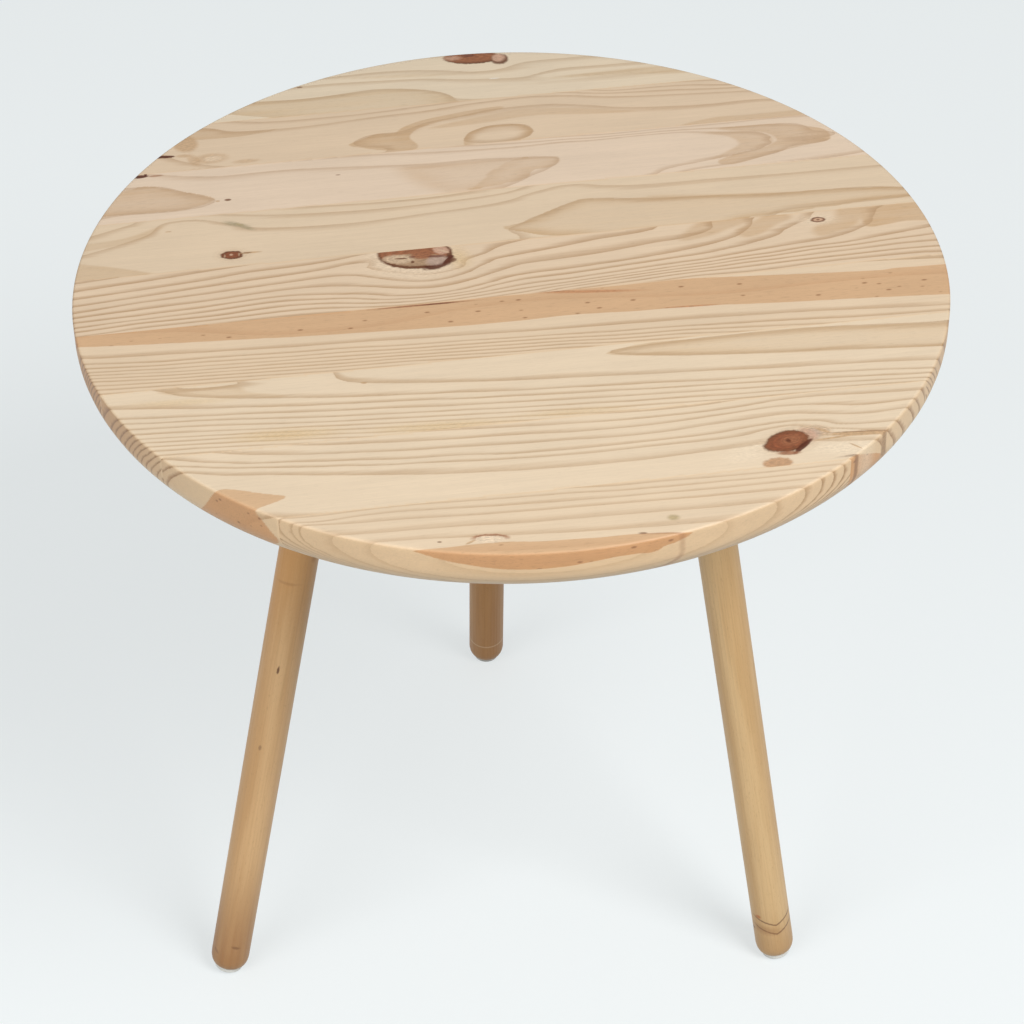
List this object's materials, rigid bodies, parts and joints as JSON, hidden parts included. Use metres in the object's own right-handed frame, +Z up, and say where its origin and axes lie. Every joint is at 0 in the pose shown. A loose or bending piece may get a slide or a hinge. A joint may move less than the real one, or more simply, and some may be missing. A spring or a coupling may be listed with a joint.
{
  "type": "round side table",
  "caption": "Low round side table: edge-glued pine top with rounded edges on splayed beech dowel legs with plastic glides.",
  "frame": {"origin": "on the floor, under the middle of the round top", "axes": "+Z up; the top's staves and grain run along X; the rear leg stands almost along +Y, and -Y is the front"},
  "size_m": [0.6, 0.6, 0.56],
  "materials": {
    "pine": "satin clear lacquer",
    "beech": "satin clear lacquer",
    "steel_plate": "zinc-plated",
    "zinc_fastener": "zinc-plated",
    "glide_plastic": "moulded, slightly worn"
  },
  "bodies": {
    "root": {"top_stave_1": "pine", "top_stave_2": "pine", "top_stave_3": "pine", "top_stave_4": "pine", "top_stave_5": "pine", "top_stave_6": "pine", "top_stave_7": "pine", "top_stave_8": "pine", "top_stave_9": "pine", "leg_rear": "beech", "plate_rear": "steel_plate", "nut_rear": "zinc_fastener", "hanger_bolt_rear": "zinc_fastener", "glide_rear": "glide_plastic", "glide_nail_rear": "zinc_fastener", "plate_screw_rear_1": "zinc_fastener", "plate_screw_rear_2": "zinc_fastener", "plate_screw_rear_3": "zinc_fastener", "plate_screw_rear_4": "zinc_fastener", "leg_left": "beech", "plate_left": "steel_plate", "nut_left": "zinc_fastener", "hanger_bolt_left": "zinc_fastener", "glide_left": "glide_plastic", "glide_nail_left": "zinc_fastener", "plate_screw_left_1": "zinc_fastener", "plate_screw_left_2": "zinc_fastener", "plate_screw_left_3": "zinc_fastener", "plate_screw_left_4": "zinc_fastener", "leg_right": "beech", "plate_right": "steel_plate", "nut_right": "zinc_fastener", "hanger_bolt_right": "zinc_fastener", "glide_right": "glide_plastic", "glide_nail_right": "zinc_fastener", "plate_screw_right_1": "zinc_fastener", "plate_screw_right_2": "zinc_fastener", "plate_screw_right_3": "zinc_fastener", "plate_screw_right_4": "zinc_fastener"}
  },
  "joints": []
}
